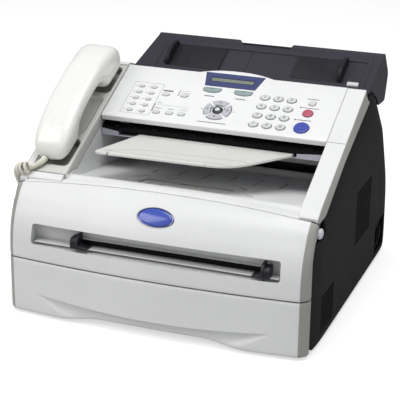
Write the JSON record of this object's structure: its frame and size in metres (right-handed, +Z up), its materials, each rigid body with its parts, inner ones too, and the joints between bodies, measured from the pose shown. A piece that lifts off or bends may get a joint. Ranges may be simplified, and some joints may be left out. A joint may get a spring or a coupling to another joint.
{
  "type": "fax machine",
  "caption": "Desktop laser fax with handset on a left cradle, tilted keypad lid, rear document tray, output dish, drop-down front cover and bottom paper cassette.",
  "frame": {"origin": "middle of the whole outline in plan, on the table plane under the feet", "axes": "+X to the right seen from the front, +Y from the front to the back, +Z up"},
  "size_m": [0.3774, 0.361, 0.2752],
  "materials": {
    "chassis_frame": "moulded, matt",
    "left_side_cover": "fine texture",
    "right_side_cover": "fine texture",
    "top_cover": "fine texture",
    "front_cover": "fine texture",
    "rear_cover": "fine texture",
    "scanner_frame": "smooth",
    "handset_cradle": "fine texture",
    "document_tray": "fine texture",
    "cassette_tray": "moulded, matt",
    "cassette_front": "fine texture",
    "lift_plate": "zinc plated sheet",
    "manual_guide_left": "moulded",
    "manual_guide_right": "moulded",
    "control_panel": "fine texture",
    "lcd_window": "clear window, printed behind",
    "document_support": "fine texture",
    "output_flap": "fine texture",
    "adf_guide_left": "moulded",
    "adf_guide_right": "moulded",
    "handset": "satin",
    "handset_cord": "coiled cord jacket",
    "hook_switch": "moulded",
    "cover_release_button": "moulded",
    "laser_unit": "moulded",
    "drum_unit": "moulded",
    "opc_drum": "photoconductor coating",
    "toner_cartridge": "moulded",
    "heat_roller": "dark release coating",
    "pressure_roller": "silicone rubber",
    "pickup_roller": "rubber tyre on a shaft",
    "adf_roller": "rubber tyre on a shaft",
    "main_board": "solder mask",
    "power_supply": "board with parts",
    "main_motor": "plated can",
    "ac_inlet": "moulded",
    "key_1": "moulded cap",
    "key_2": "moulded cap",
    "key_3": "moulded cap",
    "key_4": "moulded cap",
    "key_5": "moulded cap",
    "key_6": "moulded cap",
    "key_7": "moulded cap",
    "key_8": "moulded cap",
    "key_9": "moulded cap",
    "key_star": "moulded cap",
    "key_0": "moulded cap",
    "key_hash": "moulded cap",
    "start_key": "moulded cap",
    "stop_key": "moulded cap",
    "report_key": "moulded cap",
    "ok_key": "moulded cap",
    "fax_key": "moulded cap",
    "copy_key": "moulded cap",
    "nav_up": "moulded cap",
    "nav_left": "moulded cap",
    "nav_down": "moulded cap",
    "nav_right": "moulded cap",
    "one_touch_keys": "moulded cap",
    "function_keys": "moulded cap"
  },
  "bodies": {
    "body": {"chassis_frame": "chassis_frame", "left_side_cover": "left_side_cover", "right_side_cover": "right_side_cover", "top_cover": "top_cover", "handset_cradle": "handset_cradle", "scanner_frame": "scanner_frame", "document_tray": "document_tray", "laser_unit": "laser_unit", "drum_unit": "drum_unit", "toner_cartridge": "toner_cartridge", "main_board": "main_board", "power_supply": "power_supply", "main_motor": "main_motor", "ac_inlet": "ac_inlet", "handset_cord": "handset_cord"},
    "front_cover": {"front_cover": "front_cover"},
    "cassette": {"cassette_tray": "cassette_tray", "cassette_front": "cassette_front"},
    "control_panel": {"control_panel": "control_panel", "lcd_window": "lcd_window"},
    "manual_guide_left": {"manual_guide_left": "manual_guide_left"},
    "manual_guide_right": {"manual_guide_right": "manual_guide_right"},
    "lift_plate": {"lift_plate": "lift_plate"},
    "document_support": {"document_support": "document_support"},
    "output_flap": {"output_flap": "output_flap"},
    "adf_guide_left": {"adf_guide_left": "adf_guide_left"},
    "adf_guide_right": {"adf_guide_right": "adf_guide_right"},
    "cover_release_button": {"cover_release_button": "cover_release_button"},
    "rear_cover": {"rear_cover": "rear_cover"},
    "handset": {"handset": "handset"},
    "hook_switch": {"hook_switch": "hook_switch"},
    "opc_drum": {"opc_drum": "opc_drum"},
    "heat_roller": {"heat_roller": "heat_roller"},
    "pressure_roller": {"pressure_roller": "pressure_roller"},
    "pickup_roller": {"pickup_roller": "pickup_roller"},
    "adf_roller": {"adf_roller": "adf_roller"},
    "key_1": {"key_1": "key_1"},
    "key_2": {"key_2": "key_2"},
    "key_3": {"key_3": "key_3"},
    "key_4": {"key_4": "key_4"},
    "key_5": {"key_5": "key_5"},
    "key_6": {"key_6": "key_6"},
    "key_7": {"key_7": "key_7"},
    "key_8": {"key_8": "key_8"},
    "key_9": {"key_9": "key_9"},
    "key_star": {"key_star": "key_star"},
    "key_0": {"key_0": "key_0"},
    "key_hash": {"key_hash": "key_hash"},
    "start_key": {"start_key": "start_key"},
    "stop_key": {"stop_key": "stop_key"},
    "report_key": {"report_key": "report_key"},
    "ok_key": {"ok_key": "ok_key"},
    "fax_key": {"fax_key": "fax_key"},
    "copy_key": {"copy_key": "copy_key"},
    "nav_up": {"nav_up": "nav_up"},
    "nav_left": {"nav_left": "nav_left"},
    "nav_down": {"nav_down": "nav_down"},
    "nav_right": {"nav_right": "nav_right"},
    "one_touch_keys": {"one_touch_keys": "one_touch_keys"},
    "function_keys": {"function_keys": "function_keys"}
  },
  "joints": [
    {"name": "front_cover_hinge", "type": "hinge", "parent": "body", "child": "front_cover", "pos_m": [0.00375, -0.17705, 0.0733], "axis": [1, 0, 0], "range_deg": [0, 80]},
    {"name": "manual_guide_left_slide", "type": "slide", "parent": "front_cover", "child": "manual_guide_left", "axis": [1, 0, 0], "range_m": [0, 0.07]},
    {"name": "manual_guide_right_slide", "type": "slide", "parent": "front_cover", "child": "manual_guide_right", "axis": [-1, 0, 0], "range_m": [0, 0.07]},
    {"name": "cassette_slide", "type": "slide", "parent": "body", "child": "cassette", "axis": [0, -1, 0], "range_m": [0, 0.3]},
    {"name": "lift_plate_hinge", "type": "hinge", "parent": "cassette", "child": "lift_plate", "pos_m": [0.00375, 0.06455, 0.0096], "axis": [-1, 0, 0], "range_deg": [0, 14]},
    {"name": "control_panel_hinge", "type": "hinge", "parent": "body", "child": "control_panel", "pos_m": [0.02375, 0.06402, 0.24539], "axis": [-1, 0, 0], "range_deg": [0, 45]},
    {"name": "document_support_slide", "type": "slide", "parent": "body", "child": "document_support", "axis": [0, 1, 0], "range_m": [0, 0.068]},
    {"name": "output_flap_hinge", "type": "hinge", "parent": "body", "child": "output_flap", "pos_m": [0.00775, -0.09245, 0.14869], "axis": [1, 0, 0], "range_deg": [0, 120]},
    {"name": "adf_guide_left_slide", "type": "slide", "parent": "body", "child": "adf_guide_left", "axis": [1, 0, 0], "range_m": [0, 0.034]},
    {"name": "adf_guide_right_slide", "type": "slide", "parent": "body", "child": "adf_guide_right", "axis": [-1, 0, 0], "range_m": [0, 0.034]},
    {"name": "release_button_press", "type": "slide", "parent": "body", "child": "cover_release_button", "axis": [-1, 0, 0], "range_m": [0, 0.002], "stiffness_N_per_m": 400},
    {"name": "rear_cover_hinge", "type": "hinge", "parent": "body", "child": "rear_cover", "pos_m": [0.00375, 0.17715, 0.0796], "axis": [-1, 0, 0], "range_deg": [0, 80]},
    {"name": "handset_lift", "type": "slide", "parent": "body", "child": "handset", "axis": [0, -0.4274, 0.9041], "range_m": [0, 0.12]},
    {"name": "hook_switch_travel", "type": "slide", "parent": "body", "child": "hook_switch", "axis": [0, -0.4274, 0.9041], "range_m": [0, 0.004]},
    {"name": "opc_drum_spin", "type": "hinge", "parent": "body", "child": "opc_drum", "pos_m": [0.00375, -0.01445, 0.089], "axis": [1, 0, 0], "continuous": true},
    {"name": "heat_roller_spin", "type": "hinge", "parent": "body", "child": "heat_roller", "pos_m": [0.00375, 0.11255, 0.128], "axis": [1, 0, 0], "continuous": true},
    {"name": "pressure_roller_spin", "type": "hinge", "parent": "body", "child": "pressure_roller", "pos_m": [0.00375, 0.11255, 0.1046], "axis": [1, 0, 0], "continuous": true},
    {"name": "pickup_roller_spin", "type": "hinge", "parent": "body", "child": "pickup_roller", "pos_m": [0.00375, -0.12345, 0.0735], "axis": [1, 0, 0], "continuous": true},
    {"name": "adf_roller_spin", "type": "hinge", "parent": "body", "child": "adf_roller", "pos_m": [0.02375, 0.02132, 0.21171], "axis": [1, 0, 0], "continuous": true},
    {"name": "key_1_press", "type": "slide", "parent": "control_panel", "child": "key_1", "axis": [0, 0.4274, -0.9041], "range_m": [0, 0.0008], "stiffness_N_per_m": 500},
    {"name": "key_2_press", "type": "slide", "parent": "control_panel", "child": "key_2", "axis": [0, 0.4274, -0.9041], "range_m": [0, 0.0008], "stiffness_N_per_m": 500},
    {"name": "key_3_press", "type": "slide", "parent": "control_panel", "child": "key_3", "axis": [0, 0.4274, -0.9041], "range_m": [0, 0.0008], "stiffness_N_per_m": 500},
    {"name": "key_4_press", "type": "slide", "parent": "control_panel", "child": "key_4", "axis": [0, 0.4274, -0.9041], "range_m": [0, 0.0008], "stiffness_N_per_m": 500},
    {"name": "key_5_press", "type": "slide", "parent": "control_panel", "child": "key_5", "axis": [0, 0.4274, -0.9041], "range_m": [0, 0.0008], "stiffness_N_per_m": 500},
    {"name": "key_6_press", "type": "slide", "parent": "control_panel", "child": "key_6", "axis": [0, 0.4274, -0.9041], "range_m": [0, 0.0008], "stiffness_N_per_m": 500},
    {"name": "key_7_press", "type": "slide", "parent": "control_panel", "child": "key_7", "axis": [0, 0.4274, -0.9041], "range_m": [0, 0.0008], "stiffness_N_per_m": 500},
    {"name": "key_8_press", "type": "slide", "parent": "control_panel", "child": "key_8", "axis": [0, 0.4274, -0.9041], "range_m": [0, 0.0008], "stiffness_N_per_m": 500},
    {"name": "key_9_press", "type": "slide", "parent": "control_panel", "child": "key_9", "axis": [0, 0.4274, -0.9041], "range_m": [0, 0.0008], "stiffness_N_per_m": 500},
    {"name": "key_star_press", "type": "slide", "parent": "control_panel", "child": "key_star", "axis": [0, 0.4274, -0.9041], "range_m": [0, 0.0008], "stiffness_N_per_m": 500},
    {"name": "key_0_press", "type": "slide", "parent": "control_panel", "child": "key_0", "axis": [0, 0.4274, -0.9041], "range_m": [0, 0.0008], "stiffness_N_per_m": 500},
    {"name": "key_hash_press", "type": "slide", "parent": "control_panel", "child": "key_hash", "axis": [0, 0.4274, -0.9041], "range_m": [0, 0.0008], "stiffness_N_per_m": 500},
    {"name": "start_key_press", "type": "slide", "parent": "control_panel", "child": "start_key", "axis": [0, 0.4274, -0.9041], "range_m": [0, 0.0008], "stiffness_N_per_m": 500},
    {"name": "stop_key_press", "type": "slide", "parent": "control_panel", "child": "stop_key", "axis": [0, 0.4274, -0.9041], "range_m": [0, 0.0008], "stiffness_N_per_m": 500},
    {"name": "report_key_press", "type": "slide", "parent": "control_panel", "child": "report_key", "axis": [0, 0.4274, -0.9041], "range_m": [0, 0.0008], "stiffness_N_per_m": 500},
    {"name": "ok_key_press", "type": "slide", "parent": "control_panel", "child": "ok_key", "axis": [0, 0.4274, -0.9041], "range_m": [0, 0.0008], "stiffness_N_per_m": 500},
    {"name": "fax_key_press", "type": "slide", "parent": "control_panel", "child": "fax_key", "axis": [0, 0.4274, -0.9041], "range_m": [0, 0.0008], "stiffness_N_per_m": 500},
    {"name": "copy_key_press", "type": "slide", "parent": "control_panel", "child": "copy_key", "axis": [0, 0.4274, -0.9041], "range_m": [0, 0.0008], "stiffness_N_per_m": 500},
    {"name": "nav_up_press", "type": "slide", "parent": "control_panel", "child": "nav_up", "axis": [0, 0.4274, -0.9041], "range_m": [0, 0.0008], "stiffness_N_per_m": 500},
    {"name": "nav_left_press", "type": "slide", "parent": "control_panel", "child": "nav_left", "axis": [0, 0.4274, -0.9041], "range_m": [0, 0.0008], "stiffness_N_per_m": 500},
    {"name": "nav_down_press", "type": "slide", "parent": "control_panel", "child": "nav_down", "axis": [0, 0.4274, -0.9041], "range_m": [0, 0.0008], "stiffness_N_per_m": 500},
    {"name": "nav_right_press", "type": "slide", "parent": "control_panel", "child": "nav_right", "axis": [0, 0.4274, -0.9041], "range_m": [0, 0.0008], "stiffness_N_per_m": 500},
    {"name": "one_touch_keys_press", "type": "slide", "parent": "control_panel", "child": "one_touch_keys", "axis": [0, 0.4274, -0.9041], "range_m": [0, 0.0008], "stiffness_N_per_m": 500},
    {"name": "function_keys_press", "type": "slide", "parent": "control_panel", "child": "function_keys", "axis": [0, 0.4274, -0.9041], "range_m": [0, 0.0008], "stiffness_N_per_m": 500}
  ],
  "couplings": [
    {"joint": "manual_guide_right_slide", "follows": "manual_guide_left_slide", "ratio": 1},
    {"joint": "adf_guide_right_slide", "follows": "adf_guide_left_slide", "ratio": 1},
    {"joint": "hook_switch_travel", "follows": "handset_lift", "ratio": 0.0333},
    {"joint": "pressure_roller_spin", "follows": "heat_roller_spin", "ratio": -0.9167}
  ]
}
